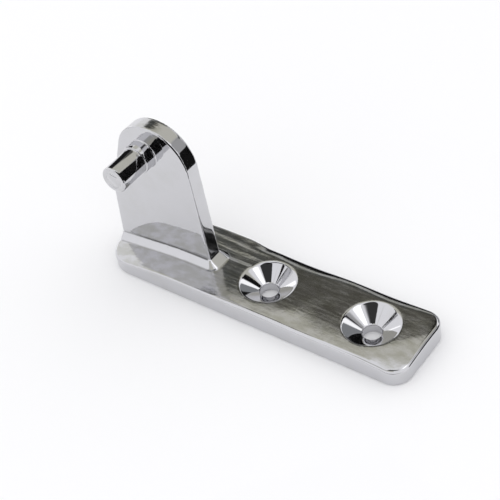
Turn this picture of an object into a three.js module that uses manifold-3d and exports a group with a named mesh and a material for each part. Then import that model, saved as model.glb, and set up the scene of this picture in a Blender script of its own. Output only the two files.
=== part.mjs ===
// Pivot pin bracket: a die-cast plate with an upright lug that carries a plain horizontal pin.
//
// Frame, in millimetres: the origin is on the plate's underside, on its centreline, straight below
// the pin. +X runs along the plate from the lug to the screw holes, +Z is up, and the pin points
// along -Y.

import * as THREE from "three";
import { mergeVertices } from "three/addons/utils/BufferGeometryUtils.js";
import Module from "manifold-3d";

// Plate
const PLATE_LENGTH = 75;
const PLATE_WIDTH = 18;
const PLATE_THICKNESS = 4.5;
const LUG_END_TO_PIN = 12.2;          // from the plate's lug end to the pin's axis
const FREE_END_CORNER_RADIUS = 4;
const LUG_END_CORNER_RADIUS = 6.5;
const TOP_EDGE_RADIUS = 1.3;
const LUG_END_THICKNESS = 2.7;        // the top falls away under the lug, down to this at the end
const FALL_START = 4;                 // where the top starts to fall, measured from the pin's axis

// Countersunk screw holes
const HOLE_PITCH = 25;
const HOLE_TO_FREE_END = 12;
const HOLE_DIAMETER = 4;
const COUNTERSINK_DIAMETER = 12;
const COUNTERSINK_DEPTH = 2.5;

// Lug
const LUG_THICKNESS = 3.5;
const LUG_HEAD_RADIUS = 9;
const LUG_HEAD_OFFSET = 2;            // the head's centre lies this far along X from the pin's axis
const LUG_TOP = 37.4;                 // above the underside
const INNER_FLANK_ANGLE = THREE.MathUtils.degToRad(3);
const OUTER_FLANK_ANGLE = THREE.MathUtils.degToRad(3.8);
const OUTER_SLANT_ANGLE = THREE.MathUtils.degToRad(19);
const KNEE_RADIUS = 9;
const FOOT_FILLET_RADIUS = 1.8;
const LUG_ROOT = 2.2;                 // the lug's blank starts this far above the underside

// Pin
const PIN_AXIS_HEIGHT = 30.5;
const PIN_DIAMETER = 5.8;
const PIN_REACH = 9.6;                // from the lug's face to the tip
const PIN_TIP_BEVEL = 0.5;
const SHOULDER_DIAMETER = 6.4;
const SHOULDER_LENGTH = 2.6;
const SPIGOT_DIAMETER = 4;            // the pin's tail, which sits in the lug's bore
const FIT_GAP = 0.3;                  // clearance between the pin and the lug, all round

// Facets
const CORNER_STEPS = 8;
const HEAD_STEPS = 40;
const KNEE_STEPS = 5;
const EDGE_STEPS = 4;
const ROUND_STEPS = 48;

// Derived places
const PLATE_LEFT = -LUG_END_TO_PIN;
const PLATE_RIGHT = PLATE_LEFT + PLATE_LENGTH;
const HALF_WIDTH = PLATE_WIDTH / 2;
const HALF_LUG = LUG_THICKNESS / 2;
const HOLE_FAR_X = PLATE_RIGHT - HOLE_TO_FREE_END;
const HOLE_NEAR_X = HOLE_FAR_X - HOLE_PITCH;
const HEAD_CENTRE = new THREE.Vector2(LUG_HEAD_OFFSET, LUG_TOP - LUG_HEAD_RADIUS);
const CLEAR = 5;                      // how far cutting tools run past the faces they cut

const CHROME = { color: 0xd9dadc, metalness: 1, roughness: 0.08 };

const wasm = await Module();
wasm.setup();

// ---------------------------------------------------------------- solids from three.js geometry

function toSolid(geometry) {
  const bare = geometry.index ? geometry.toNonIndexed() : geometry.clone();
  bare.deleteAttribute("normal");
  bare.deleteAttribute("uv");
  const merged = mergeVertices(bare, 1e-5);
  return new wasm.Manifold(new wasm.Mesh({
    numProp: 3,
    vertProperties: new Float32Array(merged.attributes.position.array),
    triVerts: new Uint32Array(merged.index.array),
  }));
}

function toGeometry(solid) {
  const mesh = solid.getMesh();
  const geometry = new THREE.BufferGeometry();
  geometry.setAttribute("position", new THREE.BufferAttribute(mesh.vertProperties, 3));
  geometry.setIndex(new THREE.BufferAttribute(mesh.triVerts, 1));
  geometry.computeVertexNormals();
  return geometry;
}

// A flat outline in X and Y, raised from z = low to z = high.
function prismAlongZ(points, low, high) {
  const geometry = new THREE.ExtrudeGeometry(new THREE.Shape(points), {
    depth: high - low,
    bevelEnabled: false,
  });
  return toSolid(geometry.translate(0, 0, low));
}

// A flat outline in X and Z, spread from y = -half to y = +half.
function prismAlongY(points, half) {
  const geometry = new THREE.ExtrudeGeometry(new THREE.Shape(points), {
    depth: 2 * half,
    bevelEnabled: false,
  });
  return toSolid(geometry.translate(0, 0, -half).rotateX(Math.PI / 2));
}

// A flat outline in Y and Z, spread from x = low to x = high.
function prismGeometryAlongX(points, low, high) {
  const geometry = new THREE.ExtrudeGeometry(new THREE.Shape(points), {
    depth: high - low,
    bevelEnabled: false,
  });
  return geometry.rotateX(Math.PI / 2).rotateZ(Math.PI / 2).translate(low, 0, 0);
}

// Points on a circle from one angle to another, both ends included.
function arc(centreX, centreY, radius, startAngle, endAngle, steps) {
  return Array.from({ length: steps + 1 }, (_, step) => {
    const angle = startAngle + ((endAngle - startAngle) * step) / steps;
    return new THREE.Vector2(
      centreX + radius * Math.cos(angle),
      centreY + radius * Math.sin(angle),
    );
  });
}

// ---------------------------------------------------------------- plate

function plateOutline() {
  const free = FREE_END_CORNER_RADIUS;
  const lug = LUG_END_CORNER_RADIUS;
  const quarter = Math.PI / 2;
  return [
    ...arc(PLATE_RIGHT - free, HALF_WIDTH - free, free, 0, quarter, CORNER_STEPS),
    ...arc(PLATE_LEFT + lug, HALF_WIDTH - lug, lug, quarter, 2 * quarter, CORNER_STEPS),
    ...arc(PLATE_LEFT + lug, lug - HALF_WIDTH, lug, 2 * quarter, 3 * quarter, CORNER_STEPS),
    ...arc(PLATE_RIGHT - free, free - HALF_WIDTH, free, 3 * quarter, 4 * quarter, CORNER_STEPS),
  ];
}

// The plate from the front: flat underneath, rounded at both ends of its top, falling to the lug end.
function plateSideProfile() {
  const edge = TOP_EDGE_RADIUS;
  const quarter = Math.PI / 2;
  return [
    new THREE.Vector2(PLATE_LEFT, 0),
    new THREE.Vector2(PLATE_RIGHT, 0),
    ...arc(PLATE_RIGHT - edge, PLATE_THICKNESS - edge, edge, 0, quarter, EDGE_STEPS),
    new THREE.Vector2(FALL_START, PLATE_THICKNESS),
    ...arc(PLATE_LEFT + edge, LUG_END_THICKNESS - edge, edge, quarter, 2 * quarter, EDGE_STEPS),
  ];
}

function plateCrossSection() {
  const edge = TOP_EDGE_RADIUS;
  const quarter = Math.PI / 2;
  return [
    new THREE.Vector2(-HALF_WIDTH, 0),
    new THREE.Vector2(HALF_WIDTH, 0),
    ...arc(HALF_WIDTH - edge, PLATE_THICKNESS - edge, edge, 0, quarter, EDGE_STEPS),
    ...arc(edge - HALF_WIDTH, PLATE_THICKNESS - edge, edge, quarter, 2 * quarter, EDGE_STEPS),
  ];
}

function makePlate() {
  const plan = prismAlongZ(plateOutline(), 0, PLATE_THICKNESS);
  const side = prismAlongY(plateSideProfile(), HALF_WIDTH + CLEAR);
  const across = prismGeometryAlongX(plateCrossSection(), PLATE_LEFT - CLEAR, PLATE_RIGHT + CLEAR);
  return plan.intersect(side).intersect(toSolid(across));
}

// ---------------------------------------------------------------- lug

// X of the inner flank, which touches the head's circle and leans towards the pin.
function innerFlankX(z) {
  const reach = LUG_HEAD_RADIUS + (HEAD_CENTRE.y - z) * Math.sin(INNER_FLANK_ANGLE);
  return HEAD_CENTRE.x + reach / Math.cos(INNER_FLANK_ANGLE);
}

// Where two lines cross; each is given by a point and the angle that it leans in from vertical.
function crossing(pointA, leanA, pointB, leanB) {
  const slopeA = Math.tan(leanA);
  const slopeB = Math.tan(leanB);
  const z = (pointB.x - pointA.x + slopeA * pointA.y - slopeB * pointB.y) / (slopeA - slopeB);
  return new THREE.Vector2(pointA.x + slopeA * (z - pointA.y), z);
}

// The lug from the front: inner flank, round head, outer slant, knee, outer flank.
function lugOutline(low) {
  const slantNormal = Math.PI - OUTER_SLANT_ANGLE;
  const head = arc(
    HEAD_CENTRE.x, HEAD_CENTRE.y, LUG_HEAD_RADIUS, INNER_FLANK_ANGLE, slantNormal, HEAD_STEPS,
  );
  const slantTop = head[head.length - 1];
  const footCorner = new THREE.Vector2(PLATE_LEFT, LUG_END_THICKNESS);
  const knee = crossing(slantTop, OUTER_SLANT_ANGLE, footCorner, OUTER_FLANK_ANGLE);
  const halfTurn = (OUTER_SLANT_ANGLE - OUTER_FLANK_ANGLE) / 2;
  const tangent = KNEE_RADIUS * Math.tan(halfTurn);
  const kneeEnd = new THREE.Vector2(
    knee.x - tangent * Math.sin(OUTER_FLANK_ANGLE),
    knee.y - tangent * Math.cos(OUTER_FLANK_ANGLE),
  );
  const kneeCentre = new THREE.Vector2(
    kneeEnd.x + KNEE_RADIUS * Math.cos(OUTER_FLANK_ANGLE),
    kneeEnd.y - KNEE_RADIUS * Math.sin(OUTER_FLANK_ANGLE),
  );
  return [
    new THREE.Vector2(innerFlankX(low), low),
    ...head,
    ...arc(
      kneeCentre.x, kneeCentre.y, KNEE_RADIUS,
      slantNormal, Math.PI - OUTER_FLANK_ANGLE, KNEE_STEPS,
    ),
    footCorner,
    new THREE.Vector2(PLATE_LEFT, low),
  ];
}

// A hollow fillet from a wall at `wall` out to the plate's top, on the side that `side` gives.
function hollowFillet(wall, base, side) {
  const radius = FOOT_FILLET_RADIUS;
  const points = arc(radius, radius, radius, Math.PI, 1.5 * Math.PI, 2 * EDGE_STEPS);
  return points.map((point) => new THREE.Vector2(wall + side * point.x, base + point.y));
}

// Tilts a solid's stretch under the lug so that it falls as the plate's top does.
function tiltToFall(geometry) {
  const slope = (PLATE_THICKNESS - LUG_END_THICKNESS) / (FALL_START - PLATE_LEFT);
  const tilt = new THREE.Matrix4().set(
    1, 0, 0, 0,
    0, 1, 0, 0,
    slope, 0, 1, -slope * FALL_START,
    0, 0, 0, 1,
  );
  return geometry.applyMatrix4(tilt);
}

// The fillet round the lug's foot: a flared cross-section runs along the plate's top, first falling
// with it and then level, and a flared side view rounds off its inner end.
function makeFootFillet() {
  const top = PLATE_THICKNESS;
  const crest = top + FOOT_FILLET_RADIUS;
  const flare = HALF_LUG + FOOT_FILLET_RADIUS;
  const wallX = innerFlankX(crest);
  const across = [
    new THREE.Vector2(-flare, LUG_ROOT),
    new THREE.Vector2(flare, LUG_ROOT),
    ...hollowFillet(HALF_LUG, top, 1).reverse(),
    ...hollowFillet(-HALF_LUG, top, -1),
  ];
  const along = [
    new THREE.Vector2(PLATE_LEFT, 0),
    new THREE.Vector2(wallX + FOOT_FILLET_RADIUS, 0),
    ...hollowFillet(wallX, top, 1).reverse(),
    new THREE.Vector2(PLATE_LEFT, crest),
  ];
  const falling = toSolid(tiltToFall(prismGeometryAlongX(across, PLATE_LEFT, FALL_START)));
  const level = toSolid(prismGeometryAlongX(across, FALL_START, PLATE_RIGHT));
  return falling.add(level).intersect(prismAlongY(along, HALF_WIDTH));
}

function makeLug() {
  const blade = prismAlongY(lugOutline(LUG_ROOT), HALF_LUG);
  const column = prismAlongZ(plateOutline(), 0, LUG_TOP + CLEAR);
  return blade.add(makeFootFillet()).intersect(column);
}

// ---------------------------------------------------------------- cutting tools

function screwHoleCutter(x) {
  const hole = HOLE_DIAMETER / 2;
  const mouth = COUNTERSINK_DIAMETER / 2;
  const coneSlope = (mouth - hole) / COUNTERSINK_DEPTH;
  const profile = [
    new THREE.Vector2(0, -CLEAR),
    new THREE.Vector2(hole, -CLEAR),
    new THREE.Vector2(hole, PLATE_THICKNESS - COUNTERSINK_DEPTH),
    new THREE.Vector2(mouth + coneSlope, PLATE_THICKNESS + 1),
    new THREE.Vector2(0, PLATE_THICKNESS + 1),
  ];
  const geometry = new THREE.LatheGeometry(profile, ROUND_STEPS);
  return toSolid(geometry.rotateX(Math.PI / 2).translate(x, 0, 0));
}

function pinBoreCutter() {
  const radius = SPIGOT_DIAMETER / 2 + FIT_GAP;
  const geometry = new THREE.CylinderGeometry(radius, radius, LUG_THICKNESS + CLEAR, ROUND_STEPS);
  return toSolid(geometry.translate(0, 0, PIN_AXIS_HEIGHT));
}

// ---------------------------------------------------------------- finished pieces

function makeBracketCasting() {
  return makePlate()
    .add(makeLug())
    .subtract(screwHoleCutter(HOLE_NEAR_X))
    .subtract(screwHoleCutter(HOLE_FAR_X))
    .subtract(pinBoreCutter());
}

// The pin's profile runs from its tail, flush with the lug's far face, to its tip. The lathe turns it
// about +Y, and the pin's mesh is turned half round so that the tip points along -Y.
function makePivotPin() {
  const spigot = SPIGOT_DIAMETER / 2;
  const shoulder = SHOULDER_DIAMETER / 2;
  const pin = PIN_DIAMETER / 2;
  const face = HALF_LUG + FIT_GAP;
  const tip = HALF_LUG + PIN_REACH;
  const profile = [
    new THREE.Vector2(0, -HALF_LUG),
    new THREE.Vector2(spigot, -HALF_LUG),
    new THREE.Vector2(spigot, face),
    new THREE.Vector2(shoulder, face),
    new THREE.Vector2(shoulder, HALF_LUG + SHOULDER_LENGTH),
    new THREE.Vector2(pin, HALF_LUG + SHOULDER_LENGTH),
    new THREE.Vector2(pin, tip - PIN_TIP_BEVEL),
    new THREE.Vector2(pin - PIN_TIP_BEVEL, tip),
    new THREE.Vector2(0, tip),
  ];
  return toSolid(new THREE.LatheGeometry(profile, ROUND_STEPS));
}

function namedMesh(name, solid) {
  const mesh = new THREE.Mesh(toGeometry(solid), new THREE.MeshStandardMaterial(CHROME));
  mesh.name = name;
  return mesh;
}

const bracket = new THREE.Group();
bracket.add(namedMesh("bracket_casting", makeBracketCasting()));

const pivotPin = namedMesh("pivot_pin", makePivotPin());
pivotPin.rotation.x = Math.PI;
pivotPin.position.z = PIN_AXIS_HEIGHT;
bracket.add(pivotPin);

export default bracket;
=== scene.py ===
"""Pivot pin bracket in bright chrome: a die-cast plate with an upright lug, and its shouldered pin.

Lengths are in millimetres up to the point where a mesh or the camera is made, which is in metres.
The frame is the CAD model's: origin on the plate's underside below the pin, +X along the plate from
the lug to the screw holes, +Z up, and the pin pointing along -Y.
"""

import math

import bpy
import numpy as np
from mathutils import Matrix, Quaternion, Vector


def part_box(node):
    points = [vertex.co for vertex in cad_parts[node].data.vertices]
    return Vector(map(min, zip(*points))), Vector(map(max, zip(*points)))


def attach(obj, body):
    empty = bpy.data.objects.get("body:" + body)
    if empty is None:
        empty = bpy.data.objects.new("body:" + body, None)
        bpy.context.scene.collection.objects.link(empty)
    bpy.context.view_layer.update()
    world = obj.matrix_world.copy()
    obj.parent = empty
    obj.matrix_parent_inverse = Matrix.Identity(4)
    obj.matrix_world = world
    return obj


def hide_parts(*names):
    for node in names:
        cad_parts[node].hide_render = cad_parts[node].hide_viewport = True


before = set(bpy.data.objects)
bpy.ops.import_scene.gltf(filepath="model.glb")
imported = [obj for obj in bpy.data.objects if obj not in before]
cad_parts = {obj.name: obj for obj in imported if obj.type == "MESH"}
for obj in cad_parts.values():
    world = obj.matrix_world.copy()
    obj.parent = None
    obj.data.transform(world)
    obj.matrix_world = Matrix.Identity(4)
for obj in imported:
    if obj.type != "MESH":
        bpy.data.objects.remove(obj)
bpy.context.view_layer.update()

MM = 0.001

# ---------------------------------------------------------------- sizes, led by the frame's boxes

CASTING_LOW, CASTING_HIGH = (np.array(corner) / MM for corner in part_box("bracket_casting"))
PIN_LOW, PIN_HIGH = (np.array(corner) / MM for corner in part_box("pivot_pin"))

# Plate
PLATE_LEFT, PLATE_RIGHT = CASTING_LOW[0], CASTING_HIGH[0]
HALF_WIDTH = CASTING_HIGH[1]
PLATE_THICKNESS = 4.5
LUG_END_THICKNESS = 2.7
FALL_START = 4.0                # the top falls from here towards the lug end
FALL_SOFTNESS = 5.0
FREE_CORNER_RADIUS = 4.0
LUG_CORNER_RADIUS = 6.5
TOP_EDGE_RADIUS = 0.8
CRISP_EDGE_RADIUS = 0.45
BOTTOM_EDGE_RADIUS = 0.35
CRISP_SIDE = (0.0, 5.0)         # the crisp edge beside the lug fades in across the plate
CRISP_END = (14.0, 22.0)        # and out along it
RUNOUT_SIDE = (3.2, 5.0)        # the crisp edge where the foot runs out fades out across the plate
RUNOUT_END = (-9.0, -4.0)       # and along it

# Screw holes
HOLE_PITCH = 25.0
HOLE_TO_FREE_END = 12.0
FAR_HOLE = PLATE_RIGHT - HOLE_TO_FREE_END
HOLE_RADIUS = 2.0
MOUTH_RADIUS = 6.0
COUNTERSINK_DEPTH = 2.5
CONE_OVERSHOOT = 1.0            # the cone ends this far above the plate, clear of the lug
HOLES = ((FAR_HOLE, 0.10), (FAR_HOLE - HOLE_PITCH, 0.12))       # place, and rounding of the mouth

# The faint facet along the front edge, and across the free corner
FACET_SLOPE = 0.08
FACET_SOFTNESS = 3.0
FACET_START = MOUTH_RADIUS + 0.9                # from the centreline
FACET_BULGE = 2.4                               # how far it widens between the screw holes
FACET_BULGE_PLACE = FAR_HOLE - 0.53 * HOLE_PITCH
FACET_BULGE_LENGTH = 4.5
FACET_NARROWING = 0.9                           # beside the lug
FACET_NARROWING_END = (16.0, 24.0)
CORNER_FACET_REACH = 0.9
CORNER_FACET_SOFTNESS = 0.7 * FACET_SOFTNESS
CORNER_FACET_STEEPNESS = 1.4                    # times the front facet's

# The rolled rear edge
ROLL_START = 6.1                                # from the centreline
ROLL_RADIUS = 5.6
ROLL_DRIFT = 0.02                               # the start moves out this much per millimetre
ROLL_DRIFT_FROM = 22.0
ROLL_WANDER = 0.3                               # and wanders to and fro
ROLL_WANDER_RATE = 0.32                         # radians per millimetre
ROLL_WANDER_PHASE = 1.0
ROLL_BEGINS = (15.0, 21.0)                      # along the plate

# The polishing beside the foot, on its rear side
RIPPLE_HEIGHT = 0.012
RIPPLE_RATE = 3.1                               # radians per millimetre across the plate
RIPPLE_SLANT = 0.12                             # radians per millimetre along it
POLISHED_SLOPE = 0.045
POLISHED_LEVEL = 6.5                            # the slope turns about this line
POLISHED_SIDE = (1.5, 3.0)
POLISHED_BEGINS = (2.0, 8.0)
POLISHED_ENDS = (18.0, 27.0)

# Lug
HALF_LUG = PIN_HIGH[1]          # the pin's tail is flush with the lug's rear face
LUG_TOP = CASTING_HIGH[2]
HEAD_RADIUS = 9.0
HEAD_X = 2.0
HEAD_Z = LUG_TOP - HEAD_RADIUS
INNER_FLANK_LEAN = math.radians(3.0)
OUTER_SLANT_LEAN = math.radians(19.0)
OUTER_FLANK_LEAN = math.radians(3.8)
OUTER_BEND_SOFTNESS = 0.32
LUG_EDGE_RADIUS = 0.5
FOOT_EDGE_RADIUS = 0.12
FOOT_EDGE_FADE = (6.0, 8.5)     # heights between which the lug's edges soften
FOOT_FILLET_RADIUS = 1.8
FOOT_CHAMFER = 0.86 * FOOT_FILLET_RADIUS
INNER_FOOT_REACH = 2.6          # the foot flares further along the plate than across it
FOOT_CREASE_WIDTH = 0.12        # rounding of the crease between the foot and the lug
BORE_EDGE_RADIUS = 0.15

# Pin
PIN_AXIS = (PIN_LOW[2] + PIN_HIGH[2]) / 2
PIN_TIP = PIN_LOW[1]
PIN_RADIUS = 2.9
SHOULDER_RADIUS = PIN_HIGH[0]
SHOULDER_LENGTH = 2.6
SHOULDER_ROUNDING = 0.14
SHOULDER_GAP = 0.02             # between the shoulder and the lug's face
ROOT_FLARE = 0.30
GROOVE_DEPTH = 0.04             # in the corner below the shoulder
GROOVE_LENGTH = 4.0 * SHOULDER_ROUNDING
TIP_BEVEL = 0.45
TIP_RING = 0.60 * PIN_RADIUS    # a shallow round groove in the tip's face
TIP_RING_DEPTH = 0.09
TIP_RING_ROUND = 0.17
TAIL_RADIUS = 2.0
TAIL_BEVEL = 0.3
FIT_GAP = 0.06                  # between the tail and its bore
PIN_SIDES = 128

# Mesh of the casting
CELL = 0.25
GRID_MARGIN = 1.0
SLOPE_STEP = 0.02
SETTLING_STEPS = 4

# ---------------------------------------------------------------- finish and studio

BRIGHT_CHROME = (0.61, 0.61, 0.63, 1.0)
# Dull chrome for random smudges, and for the painted dark reflection on the plate's top.
DULL_CHROME_AND_TOP_REFLECTION = (0.47, 0.47, 0.44, 1.0)
# Painted shade: the near-black colour put into the creases.
CREASE_SHADE_COLOUR = (0.06, 0.06, 0.055, 1.0)
WAVE_HEIGHT = 0.022
GRAIN_HEIGHT = 0.009
WHEEL_MARKS_BESIDE_LUG = 0.030  # height of the wheel marks, which are deeper beside the lug
WHEEL_MARKS_AT_HOLES = 0.006
WHEEL_MARKS_FADE = (12.0, 26.0) # along the plate
TURNING_RING_HEIGHT = 0.0028
PIN_WAVE_HEIGHT = 0.012

CAMERA_LENS = 97.28
CAMERA_PLACE = (159.54, -149.17, 197.33)
CAMERA_ANGLES = (42.59, 42.45, -10.29)          # azimuth, elevation and roll in degrees

FLOOR_REACH = 3000.0
FLOOR_COLOUR = (0.94, 0.94, 0.955, 1.0)
WORLD_BRIGHTNESS = 1.05

# The tent, the table edges and the cards are seen only in the chrome. The tent is white, with flags
# painted on it. Each flag: azimuth range in degrees from +Y towards +X, elevation range, red, green
# and blue, and softness of its edge in degrees.
TENT_RADIUS = 450.0
TENT_FOOT = -4.0
TENT_COLOUR = (1.05, 1.05, 1.07)
FLAGS = {
    "ceiling behind": ((-100, 48), (44, 68), (0.67, 0.66, 0.59), 6),
    "ceiling in front, right": ((142, 184), (42, 62), (0.64, 0.63, 0.56), 4),
    "ceiling in front, left": ((-184, -152), (42, 62), (0.60, 0.60, 0.57), 4),
    "wall behind right": ((40, 62), (16, 46), (0.46, 0.46, 0.46), 4),
    "wall behind left": ((-51, -8), (32, 49), (0.085, 0.088, 0.082), 3),
    "taller wall behind": ((-40, -8), (44, 51.5), (0.105, 0.10, 0.085), 2.5),
    "gap under the wall": ((-44, -16), (27, 37), (0.50, 0.50, 0.48), 2),
    "dark base behind": ((-46, -6), (2, 27), (0.01, 0.01, 0.01), 2),
    "grey base behind": ((-8, 26), (2, 28), (0.28, 0.29, 0.30), 3),
    "bright strip": ((8, 36), (28, 37), (1.5, 1.5, 1.5), 2),
    "dark strip": ((20, 43), (37, 43), (0.02, 0.02, 0.02), 1.5),
    "black flag behind right": ((38, 78), (-12, 19), (0.01, 0.01, 0.01), 2),
    "dark overhead": ((100, 178), (64, 90), (0.05, 0.05, 0.05), 3),
    "horizon in front": ((-184, -112), (-4, 2.6), (0.05, 0.05, 0.05), 1.5),
    "lamp": ((64, 92), (51, 66), (1.9, 1.9, 1.9), 2),
    "low lamp": ((-76, -66), (4, 15), (1.7, 1.7, 1.7), 2),
}

# Where the white table ends. Each edge: azimuth range in degrees, and distance from the origin.
TABLE_EDGES = {
    "table edge behind right": ((36, 80), 75.0),
    "table edge front right": ((108, 150), 70.0),
}
TABLE_EDGE_END = 500.0
TABLE_EDGE_HEIGHT = 0.3

# Black cards near the object. Each card: its centre, the point it faces, half its width and height.
CARDS = {
    "card behind the plate": ((50.0, 36.0, 42.0), (16.0, 6.0, 4.5), 11.0, 9.0),
    "card in front of the pin": ((6.3, -10.0, 34.3), (2.0, -6.5, 30.5), 5.5, 4.3),
    "card in front of the head": ((10.7, -4.8, 35.2), (6.5, -1.75, 34.0), 3.0, 6.0),
}

# Black cards round the lug's head. Each card: the degrees from +X that it spans.
HEAD_CARDS = {
    "card right of the head": (-5.0, 64.0),
    "card left of the head": (125.0, 160.0),
}
HEAD_CARD_REACH = (HEAD_RADIUS + 0.2, HEAD_RADIUS + 15.0)
HEAD_CARD_STEPS = 8


# ---------------------------------------------------------------- distance fields

def smooth_step(value, start, end):
    t = np.clip((value - start) / (end - start), 0.0, 1.0)
    return t * t * (3.0 - 2.0 * t)


def rounded_common(a, b, radius):
    """Where two solids overlap, with the edge between them rounded."""
    corner = np.hypot(np.maximum(a + radius, 0.0), np.maximum(b + radius, 0.0))
    return np.minimum(-radius, np.maximum(a, b)) + corner


def filleted_sum(a, b, radius):
    """Two solids together, with a hollow fillet between them."""
    corner = np.hypot(np.maximum(radius - a, 0.0), np.maximum(radius - b, 0.0))
    return np.maximum(radius, np.minimum(a, b)) - corner


def soft_max(a, b, width):
    blend = np.maximum(width - np.abs(a - b), 0.0)
    return np.maximum(a, b) + blend * blend / (4.0 * width)


def soft_min(a, b, width):
    return -soft_max(-a, -b, width)


def slanted_side(x, z, lean, through_x, through_z):
    """Distance outside a side that leans inward going up; a negative lean is a left-hand side."""
    side = math.copysign(1.0, lean)
    angle = abs(lean)
    return side * (x - through_x) * math.cos(angle) + (z - through_z) * math.sin(angle)


# ---------------------------------------------------------------- bracket casting

def plate_outline(x, y):
    """The plate from above: a rectangle with larger round corners at the lug end."""
    corner = np.where(x > 0.0, FREE_CORNER_RADIUS, LUG_CORNER_RADIUS)
    across = np.abs(y) - HALF_WIDTH + corner
    along = np.abs(x - (PLATE_LEFT + PLATE_RIGHT) / 2) - (PLATE_RIGHT - PLATE_LEFT) / 2 + corner
    outside = np.hypot(np.maximum(along, 0.0), np.maximum(across, 0.0))
    return outside + np.minimum(np.maximum(along, across), 0.0) - corner


def front_facet(x, y):
    """How far the front facet lowers the top; it is wider between the screw holes."""
    between_holes = np.exp(-((x - FACET_BULGE_PLACE) / FACET_BULGE_LENGTH) ** 2)
    near_lug = 1.0 - smooth_step(x, *FACET_NARROWING_END)
    start = FACET_START - FACET_BULGE * between_holes + FACET_NARROWING * near_lug
    along = soft_max(-y - start, 0.0, FACET_SOFTNESS)
    past_corner = (x - PLATE_RIGHT - y) / math.sqrt(2.0) + CORNER_FACET_REACH
    corner = soft_max(past_corner, 0.0, CORNER_FACET_SOFTNESS)
    return FACET_SLOPE * (along + CORNER_FACET_STEEPNESS * corner)


def rear_roll(x, y):
    """How far the rolled rear edge lowers the top; behind the lug it doesn't."""
    wander = ROLL_WANDER * np.sin(ROLL_WANDER_RATE * x + ROLL_WANDER_PHASE)
    start = ROLL_START + ROLL_DRIFT * (x - ROLL_DRIFT_FROM) + wander
    past = np.maximum(y - start, 0.0)
    return past * past / (2.0 * ROLL_RADIUS) * smooth_step(x, *ROLL_BEGINS)


def polishing(x, y):
    """How far polishing lowers the top beside the foot: a gentle slope with lengthwise ripples."""
    place = smooth_step(y, *POLISHED_SIDE) * (1.0 - smooth_step(x, *POLISHED_ENDS))
    ripple = RIPPLE_HEIGHT * np.sin(RIPPLE_RATE * y + RIPPLE_SLANT * x)
    return place * smooth_step(x, *POLISHED_BEGINS) * (ripple - POLISHED_SLOPE * (y - POLISHED_LEVEL))


def plate_top(x, y):
    """Height of the plate's top, which falls away under the lug."""
    slope = (PLATE_THICKNESS - LUG_END_THICKNESS) / (FALL_START - PLATE_LEFT)
    fall = slope * soft_max(FALL_START - x, 0.0, FALL_SOFTNESS)
    return PLATE_THICKNESS - fall - front_facet(x, y) - rear_roll(x, y) - polishing(x, y)


def top_edge_radius(x, y):
    """The top edge is crisp beside the lug and where the lug's foot runs out, and soft elsewhere."""
    beside_lug = smooth_step(np.abs(y), *CRISP_SIDE) * (1.0 - smooth_step(x, *CRISP_END))
    runout = (1.0 - smooth_step(np.abs(y), *RUNOUT_SIDE)) * (1.0 - smooth_step(x, *RUNOUT_END))
    crisp = np.clip(beside_lug + runout, 0.0, 1.0)
    return TOP_EDGE_RADIUS + (CRISP_EDGE_RADIUS - TOP_EDGE_RADIUS) * crisp


def lug_outline(x, z):
    """The lug from the front: two leaning flanks under a round head."""
    inner = slanted_side(x, z, INNER_FLANK_LEAN, HEAD_X, HEAD_Z) - HEAD_RADIUS
    slant = slanted_side(x, z, -OUTER_SLANT_LEAN, HEAD_X, HEAD_Z) - HEAD_RADIUS
    flank = slanted_side(x, z, -OUTER_FLANK_LEAN, PLATE_LEFT, LUG_END_THICKNESS)
    outer = soft_max(slant, flank, OUTER_BEND_SOFTNESS)
    head = np.hypot(x - HEAD_X, z - HEAD_Z) - HEAD_RADIUS
    inner_start = (z - HEAD_Z) * math.cos(INNER_FLANK_LEAN) - (x - HEAD_X) * math.sin(INNER_FLANK_LEAN)
    outer_start = (z - HEAD_Z) * math.cos(OUTER_SLANT_LEAN) + (x - HEAD_X) * math.sin(OUTER_SLANT_LEAN)
    on_head = (inner_start > 0.0) & (outer_start > 0.0)
    return np.where(on_head, head, np.maximum(inner, outer))


def upright_lug(x, y, z):
    """The lug, with edges that are sharper near its foot."""
    near_foot = 1.0 - smooth_step(z, *FOOT_EDGE_FADE)
    edge_radius = LUG_EDGE_RADIUS + (FOOT_EDGE_RADIUS - LUG_EDGE_RADIUS) * near_foot
    return rounded_common(lug_outline(x, z), np.abs(y) - HALF_LUG, edge_radius)


def lug_foot(x, y, z, above_top):
    """The plate's top and the lug with the flared foot between them, which has mitred corners.

    The foot is nearly a chamfer: the lesser of a chamfer and a hollow fillet.
    """
    along = lug_outline(x, z) * (FOOT_FILLET_RADIUS / INNER_FOOT_REACH)
    out = rounded_common(along, np.abs(y) - HALF_LUG, FOOT_EDGE_RADIUS)
    hollow = filleted_sum(above_top, out, FOOT_FILLET_RADIUS)
    chamfer = (above_top + out - FOOT_CHAMFER) / math.sqrt(2.0)
    return np.minimum(hollow, chamfer)


def screw_hole(x, y, z, centre_x):
    """A countersunk hole: a bore under a cone that opens at the plate's top."""
    radius = np.hypot(x - centre_x, y)
    spread = (MOUTH_RADIUS - HOLE_RADIUS) / COUNTERSINK_DEPTH
    cone_foot = PLATE_THICKNESS - COUNTERSINK_DEPTH
    cone = (radius - HOLE_RADIUS - spread * (z - cone_foot)) / math.hypot(1.0, spread)
    return np.maximum(np.minimum(radius - HOLE_RADIUS, cone), z - PLATE_THICKNESS - CONE_OVERSHOOT)


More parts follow.
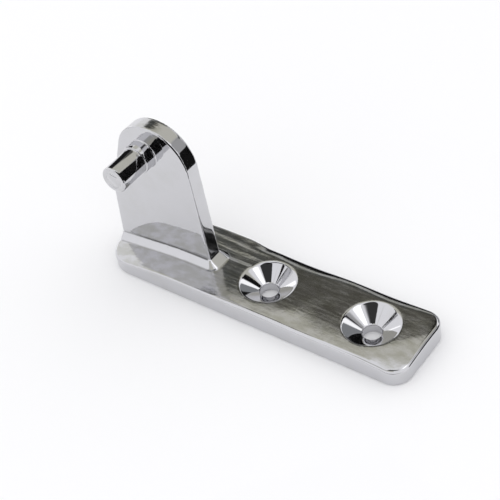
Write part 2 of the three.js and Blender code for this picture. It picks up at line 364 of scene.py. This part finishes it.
def bracket_casting(x, y, z):
    """Signed distance to the casting, negative inside."""
    above_top = z - plate_top(x, y)
    plate_and_lug = np.minimum(above_top, upright_lug(x, y, z))
    body = soft_min(plate_and_lug, lug_foot(x, y, z, above_top), FOOT_CREASE_WIDTH)
    body = rounded_common(body, plate_outline(x, y), top_edge_radius(x, y))
    body = rounded_common(body, -z, BOTTOM_EDGE_RADIUS)
    for centre_x, mouth_rounding in HOLES:
        body = rounded_common(body, -screw_hole(x, y, z, centre_x), mouth_rounding)
    bore = np.hypot(x, z - PIN_AXIS) - TAIL_RADIUS - FIT_GAP
    return rounded_common(body, -bore, BORE_EDGE_RADIUS)


# ---------------------------------------------------------------- meshes

def make_mesh(name, vertices, faces):
    mesh = bpy.data.meshes.new(name)
    mesh.from_pydata((vertices * MM).tolist(), [], faces)
    mesh.shade_smooth()
    mesh.validate()
    piece = bpy.data.objects.new(name, mesh)
    bpy.context.scene.collection.objects.link(piece)
    return piece


def edge_crossings(field, axis):
    """Grid edges along one axis that the surface crosses, and the four cells round each."""
    low = field[tuple(slice(None, -1) if a == axis else slice(None) for a in range(3))]
    high = field[tuple(slice(1, None) if a == axis else slice(None) for a in range(3))]
    starts = np.argwhere((low < 0.0) != (high < 0.0))
    at_low, at_high = low[tuple(starts.T)], high[tuple(starts.T)]
    unit = np.eye(3, dtype=int)
    points = starts + unit[axis] * (at_low / (at_low - at_high))[:, None]
    u, v = unit[(axis + 1) % 3], unit[(axis + 2) % 3]
    round_edge = np.stack([starts, starts - u, starts - u - v, starts - v], axis=1)
    cells = np.ravel_multi_index(tuple(np.moveaxis(round_edge, -1, 0)), field.shape)
    outward = (at_low < 0.0)[:, None]
    return points, cells, np.where(outward, cells, cells[:, ::-1])


def settle_on_surface(points, distance):
    """Moves points onto the surface along its normals."""
    for _ in range(SETTLING_STEPS):
        slope = np.stack([
            (distance(*(points + offset).T) - distance(*(points - offset).T)) / (2.0 * SLOPE_STEP)
            for offset in SLOPE_STEP * np.eye(3)
        ], axis=1)
        height = distance(*points.T)[:, None]
        points = points - np.clip(height / np.sum(slope * slope, axis=1)[:, None], -CELL, CELL) * slope
    return points


def mesh_on_surface(name, distance, low, high):
    """A closed mesh of quads on distance = 0, with one vertex in each cell that the surface crosses."""
    counts = np.ceil((high - low) / CELL).astype(int) + 1
    axes = [low[a] + CELL * np.arange(counts[a]) for a in range(3)]
    field = distance(*np.meshgrid(*axes, indexing="ij"))
    totals = np.zeros((field.size, 3))
    hits = np.zeros(field.size)
    quads = []
    for axis in range(3):
        points, cells, faces = edge_crossings(field, axis)
        for column in cells.T:
            hits += np.bincount(column, minlength=field.size)
            for a in range(3):
                totals[:, a] += np.bincount(column, points[:, a], field.size)
        quads.append(faces)
    quads = np.concatenate(quads)
    used = np.unique(quads)
    vertices = settle_on_surface(low + CELL * totals[used] / hits[used][:, None], distance)
    return make_mesh(name, vertices, np.searchsorted(used, quads).tolist())


def lathe(name, profile, sides):
    """Turns a profile about the pin's axis; both of its ends lie on the axis."""
    along, radii = np.array(profile).T
    angles = 2.0 * np.pi * np.arange(sides) / sides
    rings = np.stack([
        radii[1:-1, None] * np.cos(angles),
        np.repeat(HALF_LUG - along[1:-1], sides).reshape(-1, sides),
        PIN_AXIS + radii[1:-1, None] * np.sin(angles),
    ], axis=-1).reshape(-1, 3)
    ends = [[0.0, HALF_LUG - along[end], PIN_AXIS] for end in (0, -1)]
    ring_count = len(profile) - 2
    index = np.arange(ring_count * sides).reshape(ring_count, sides)
    after = np.roll(index, -1, axis=1)
    quads = np.stack([index[:-1], index[1:], after[1:], after[:-1]], axis=-1).reshape(-1, 4)
    tail, tip = len(rings), len(rings) + 1
    faces = quads.tolist()
    faces += [[tail, a, b] for a, b in zip(index[0], after[0])]
    faces += [[tip, b, a] for a, b in zip(index[-1], after[-1])]
    return make_mesh(name, np.vstack([rings, ends]), faces)


# ---------------------------------------------------------------- pin

def arc(centre_along, centre_radius, radius, start, end, steps):
    """Profile points on an arc: distance along the pin from the lug's rear face, and from its axis."""
    angles = np.radians(np.linspace(start, end, steps + 1))
    return [(centre_along + radius * math.cos(a), centre_radius + radius * math.sin(a)) for a in angles]


def pin_profile():
    """From the tail, flush with the lug's rear face, to the tip."""
    face = 2.0 * HALF_LUG + SHOULDER_GAP
    tip = HALF_LUG - PIN_TIP
    step = face + SHOULDER_LENGTH
    rounding = SHOULDER_ROUNDING
    groove = PIN_RADIUS - GROOVE_DEPTH
    opening = math.degrees(math.acos((TIP_RING_DEPTH - TIP_RING_ROUND) / TIP_RING_ROUND))
    return [
        (0.0, 0.0), (0.0, TAIL_RADIUS - TAIL_BEVEL), (TAIL_BEVEL, TAIL_RADIUS), (face, TAIL_RADIUS),
        *arc(face + ROOT_FLARE, SHOULDER_RADIUS + ROOT_FLARE, ROOT_FLARE, 180, 270, 5),
        *arc(step - rounding, SHOULDER_RADIUS - rounding, rounding, 90, 0, 4),
        *arc(step + rounding, groove + rounding, rounding, 180, 270, 4),
        (step + GROOVE_LENGTH, PIN_RADIUS),
        *arc(tip - TIP_BEVEL, PIN_RADIUS - TIP_BEVEL, TIP_BEVEL, 90, 0, 8),
        *arc(tip + TIP_RING_ROUND - TIP_RING_DEPTH, TIP_RING, TIP_RING_ROUND, opening, 360 - opening, 6),
        (tip, 0.0),
    ]


# ---------------------------------------------------------------- materials

def add_node(tree, kind, settings=None, **sockets):
    """Adds a shader node: an output given for a socket is linked to it, and any other value is set.

    A socket goes by its name, with _ for a space, or by its number, such as _0.
    """
    made = tree.nodes.new("ShaderNode" + kind)
    for setting, value in (settings or {}).items():
        setattr(made, setting, value)
    for socket, value in sockets.items():
        target = made.inputs[int(socket[1:]) if socket[1:].isdigit() else socket.replace("_", " ")]
        if isinstance(value, bpy.types.NodeSocket):
            tree.links.new(value, target)
        else:
            target.default_value = value
    return made


def calculate(tree, operation, a, b):
    return add_node(tree, "Math", {"operation": operation}, _0=a, _1=b).outputs[0]


def noise(tree, position, frequencies, detail):
    """Noise from 0 to 1, with its own frequency per millimetre along each axis."""
    scaled = add_node(tree, "VectorMath", {"operation": "MULTIPLY"}, _0=position, _1=frequencies)
    return add_node(tree, "TexNoise", Vector=scaled.outputs[0], Scale=1.0, Detail=detail).outputs[0]


def ramp(tree, value, over, outcome):
    """Goes smoothly from the first outcome to the second while the value crosses a range."""
    settings = {"interpolation_type": "SMOOTHSTEP"}
    ends = {"From_Min": over[0], "From_Max": over[1], "To_Min": outcome[0], "To_Max": outcome[1]}
    return add_node(tree, "MapRange", settings, Value=value, **ends).outputs[0]


def mix_colours(tree, share, first, second):
    return add_node(tree, "Mix", {"data_type": "RGBA"}, _0=share, _6=first, _7=second).outputs[2]


def start_chrome(name):
    """A chrome shader, and the position on the object in millimetres."""
    material = bpy.data.materials.new(name)
    material.use_nodes = True
    tree = material.node_tree
    surface = tree.nodes["Principled BSDF"]
    surface.inputs["Metallic"].default_value = 1.0
    place = add_node(tree, "TexCoord").outputs["Object"]
    position = add_node(tree, "VectorMath", {"operation": "SCALE"}, _0=place, Scale=1.0 / MM).outputs[0]
    return material, tree, surface, position


def finish_chrome(tree, surface, colour, roughness, height):
    """Plugs in the colour, the roughness and the relief, whose height is in millimetres."""
    relief = add_node(tree, "Bump", Strength=1.0, Distance=MM, Height=height).outputs[0]
    tree.links.new(colour, surface.inputs["Base Color"])
    tree.links.new(roughness, surface.inputs["Roughness"])
    tree.links.new(relief, surface.inputs["Normal"])


def casting_relief(tree, position, along, top, wheel_marks):
    """Faint waves all over, with wheel marks and grain on the plate's top."""
    waves = noise(tree, position, (0.16, 0.16, 0.16), 1.0)
    grain = noise(tree, position, (1.5, 1.7, 1.5), 3.0)
    depth = ramp(tree, along, WHEEL_MARKS_FADE, (WHEEL_MARKS_BESIDE_LUG, WHEEL_MARKS_AT_HOLES))
    marks = calculate(tree, "MULTIPLY", wheel_marks, depth)
    marks_and_grain = calculate(tree, "ADD", marks, calculate(tree, "MULTIPLY", grain, GRAIN_HEIGHT))
    top_relief = calculate(tree, "MULTIPLY", top, marks_and_grain)
    return calculate(tree, "ADD", calculate(tree, "MULTIPLY", waves, WAVE_HEIGHT), top_relief)


def casting_colour(tree, position, up, top, smudges, pointiness):
    """Bright chrome with random duller smudges, a painted dark reflection mottled on the plate's top, and
    painted shade nearly black in the creases.
    """
    mottling = noise(tree, position, (0.35, 0.55, 0.5), 4.0)
    # Painted reflection: random mottles darken and yellow the chrome on the plate's top only.
    painted_top_reflection = calculate(tree, "MULTIPLY", top, ramp(tree, mottling, (0.32, 0.66), (0.0, 0.75)))
    smudge_dullness = ramp(tree, smudges, (0.45, 0.75), (0.0, 0.14))
    # Random smudges together with the painted reflection on the top.
    dullness = calculate(tree, "ADD", painted_top_reflection, smudge_dullness)
    colour = mix_colours(tree, dullness, BRIGHT_CHROME, DULL_CHROME_AND_TOP_REFLECTION)
    # Painted shade: concave creases, most of all those above the plate, are coloured nearly black.
    hollow = ramp(tree, pointiness, (0.470, 0.494), (0.95, 0.0))
    above_plate = ramp(tree, up, (4.3, 5.2), (0.35, 1.0))
    crease = calculate(tree, "MULTIPLY", hollow, above_plate)
    return mix_colours(tree, crease, colour, CREASE_SHADE_COLOUR)


def casting_chrome():
    """Chrome over a hand-polished casting."""
    material, tree, surface, position = start_chrome("chrome casting")
    shape = add_node(tree, "NewGeometry").outputs
    facing = add_node(tree, "SeparateXYZ", Vector=shape["True Normal"]).outputs
    place = add_node(tree, "SeparateXYZ", Vector=position).outputs
    top = ramp(tree, facing["Z"], (0.93, 0.985), (0.0, 1.0))
    wheel_marks = noise(tree, position, (0.16, 1.5, 1.5), 3.0)
    smudges = noise(tree, position, (0.22, 0.30, 0.22), 3.0)
    top_haze = calculate(tree, "MULTIPLY", top, ramp(tree, wheel_marks, (0.35, 0.70), (0.04, 0.12)))
    roughness = calculate(tree, "ADD", top_haze, ramp(tree, smudges, (0.40, 0.75), (0.035, 0.10)))
    colour = casting_colour(tree, position, place["Z"], top, smudges, shape["Pointiness"])
    height = casting_relief(tree, position, place["X"], top, wheel_marks)
    finish_chrome(tree, surface, colour, roughness, height)
    return material


def pin_chrome():
    """Chrome over a turned pin: fine rings round it from the lathe, under the polish."""
    material, tree, surface, position = start_chrome("chrome pin")
    rings = noise(tree, position, (0.12, 2.4, 0.12), 2.0)
    waves = noise(tree, position, (0.30, 0.18, 0.30), 1.0)
    smudges = noise(tree, position, (0.5, 0.5, 0.5), 3.0)
    height = calculate(tree, "ADD", calculate(tree, "MULTIPLY", rings, TURNING_RING_HEIGHT),
                       calculate(tree, "MULTIPLY", waves, PIN_WAVE_HEIGHT))
    dullness = ramp(tree, smudges, (0.42, 0.75), (0.0, 0.25))
    colour = mix_colours(tree, dullness, BRIGHT_CHROME, DULL_CHROME_AND_TOP_REFLECTION)
    roughness = ramp(tree, rings, (0.30, 0.75), (0.04, 0.10))
    finish_chrome(tree, surface, colour, roughness, height)
    return material


def matt_black(name):
    material = bpy.data.materials.new(name)
    material.use_nodes = True
    surface = material.node_tree.nodes["Principled BSDF"]
    surface.inputs["Base Color"].default_value = (0.01, 0.01, 0.01, 1.0)
    surface.inputs["Roughness"].default_value = 1.0
    surface.inputs["Specular IOR Level"].default_value = 0.0
    return material


def glowing_paint(name):
    """Glows in the colours that are painted on the mesh's points."""
    material = bpy.data.materials.new(name)
    material.use_nodes = True
    tree = material.node_tree
    tree.nodes.clear()
    paint = add_node(tree, "Attribute", {"attribute_name": "paint"})
    glow = add_node(tree, "Emission", Color=paint.outputs["Color"])
    add_node(tree, "OutputMaterial", Surface=glow.outputs["Emission"])
    return material


# ---------------------------------------------------------------- stage

def add_camera():
    camera = bpy.data.cameras.new("camera")
    camera.sensor_width = 36.0
    camera.lens = CAMERA_LENS
    camera.clip_start = 0.01
    camera_object = bpy.data.objects.new("camera", camera)
    camera_object.location = Vector(CAMERA_PLACE) * MM
    azimuth, elevation, roll = (math.radians(angle) for angle in CAMERA_ANGLES)
    forward = Vector((
        -math.sin(azimuth) * math.cos(elevation),
        math.cos(azimuth) * math.cos(elevation),
        -math.sin(elevation),
    ))
    level = forward.to_track_quat("-Z", "Y")
    camera_object.rotation_mode = "QUATERNION"
    camera_object.rotation_quaternion = level @ Quaternion((0.0, 0.0, 1.0), roll)
    bpy.context.scene.collection.objects.link(camera_object)
    bpy.context.scene.camera = camera_object


def stage_mesh(name, vertices, faces, material):
    mesh = bpy.data.meshes.new(name)
    mesh.from_pydata((np.array(vertices) * MM).tolist(), [], faces)
    mesh.materials.append(material)
    stage = bpy.data.objects.new(name, mesh)
    bpy.context.scene.collection.objects.link(stage)
    return stage


def show_only_in_reflections(stage):
    stage.visible_camera = False
    stage.visible_diffuse = False
    stage.visible_shadow = False


def add_floor():
    material = bpy.data.materials.new("floor")
    material.use_nodes = True
    surface = material.node_tree.nodes["Principled BSDF"]
    surface.inputs["Base Color"].default_value = FLOOR_COLOUR
    surface.inputs["Roughness"].default_value = 0.9
    corners = [(FLOOR_REACH * x, FLOOR_REACH * y, 0.0) for x, y in ((-1, -1), (1, -1), (1, 1), (-1, 1))]
    stage_mesh("floor", corners, [(0, 1, 2, 3)], material)


def add_world():
    world = bpy.data.worlds.new("studio")
    bpy.context.scene.world = world
    world.use_nodes = True
    background = world.node_tree.nodes["Background"]
    background.inputs["Color"].default_value = (1.0, 1.0, 1.0, 1.0)
    background.inputs["Strength"].default_value = WORLD_BRIGHTNESS


def tent_colours(azimuth, elevation):
    colours = np.ones(azimuth.shape + (3,)) * TENT_COLOUR
    for (left, right), (low, high), colour, softness in FLAGS.values():
        inside = np.minimum(
            np.minimum(azimuth - left, right - azimuth),
            np.minimum(elevation - low, high - elevation),
        )
        cover = smooth_step(inside, -0.5 * softness, 0.5 * softness)[..., None]
        colours = colours + cover * (np.array(colour) - colours)
    return colours


def add_tent():
    """A dome round the object, with a point at every degree, painted with the tent and its flags."""
    azimuth, elevation = np.meshgrid(np.arange(-180.0, 180.0, 1.0), np.arange(TENT_FOOT, 91.0, 1.0))
    a, e = np.radians(azimuth), np.radians(elevation)
    points = TENT_RADIUS * np.stack([np.sin(a) * np.cos(e), np.cos(a) * np.cos(e), np.sin(e)], axis=-1)
    index = np.arange(azimuth.size).reshape(azimuth.shape)
    after = np.roll(index, -1, axis=1)
    quads = np.stack([index[:-1], after[:-1], after[1:], index[1:]], axis=-1).reshape(-1, 4)
    dome = stage_mesh("tent", points.reshape(-1, 3), quads.tolist(), glowing_paint("tent"))
    colours = tent_colours(azimuth, elevation).reshape(-1, 3)
    layer = dome.data.attributes.new("paint", "FLOAT_COLOR", "POINT")
    layer.data.foreach_set("color", np.hstack([colours, np.ones((len(colours), 1))]).ravel())
    show_only_in_reflections(dome)


def add_table_edge(name, azimuths, start):
    """A black sheet where the white table ends."""
    left, right = (math.radians(angle) for angle in azimuths)
    corners = [
        (reach * math.sin(angle), reach * math.cos(angle), TABLE_EDGE_HEIGHT)
        for angle, reach in ((left, start), (left, TABLE_EDGE_END), (right, TABLE_EDGE_END), (right, start))
    ]
    show_only_in_reflections(stage_mesh(name, corners, [(0, 1, 2, 3)], matt_black(name)))


def add_card(name, centre, towards, half_width, half_height):
    """A rectangular black card that faces a point."""
    centre = Vector(centre)
    facing = (Vector(towards) - centre).normalized()
    across = facing.cross(Vector((0.0, 0.0, 1.0))).normalized() * half_width
    up = across.cross(facing).normalized() * half_height
    corners = [centre - across - up, centre + across - up, centre + across + up, centre - across + up]
    show_only_in_reflections(stage_mesh(name, corners, [(0, 1, 2, 3)], matt_black(name)))


def add_head_card(name, start, end):
    """A black card in the plane of the lug's face, where the pin reflects it and the face doesn't."""
    angles = np.radians(np.linspace(start, end, HEAD_CARD_STEPS + 1))
    corners = [
        (HEAD_X + reach * math.cos(a), -HALF_LUG, HEAD_Z + reach * math.sin(a))
        for a in angles for reach in HEAD_CARD_REACH
    ]
    faces = [(2 * i, 2 * i + 1, 2 * i + 3, 2 * i + 2) for i in range(HEAD_CARD_STEPS)]
    show_only_in_reflections(stage_mesh(name, corners, faces, matt_black(name)))


# ---------------------------------------------------------------- assembly

bpy.context.scene.view_settings.view_transform = "Standard"
add_camera()
add_floor()
add_world()
add_tent()
for name, edge in TABLE_EDGES.items():
    add_table_edge(name, *edge)
for name, card in CARDS.items():
    add_card(name, *card)
for name, span in HEAD_CARDS.items():
    add_head_card(name, *span)

casting = mesh_on_surface(
    "bracket_casting_chrome", bracket_casting, CASTING_LOW - GRID_MARGIN, CASTING_HIGH + GRID_MARGIN
)
casting.data.materials.append(casting_chrome())
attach(casting, "root")
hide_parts("bracket_casting")

pin = lathe("pivot_pin_chrome", pin_profile(), PIN_SIDES)
pin.data.materials.append(pin_chrome())
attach(pin, "root")
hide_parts("pivot_pin")
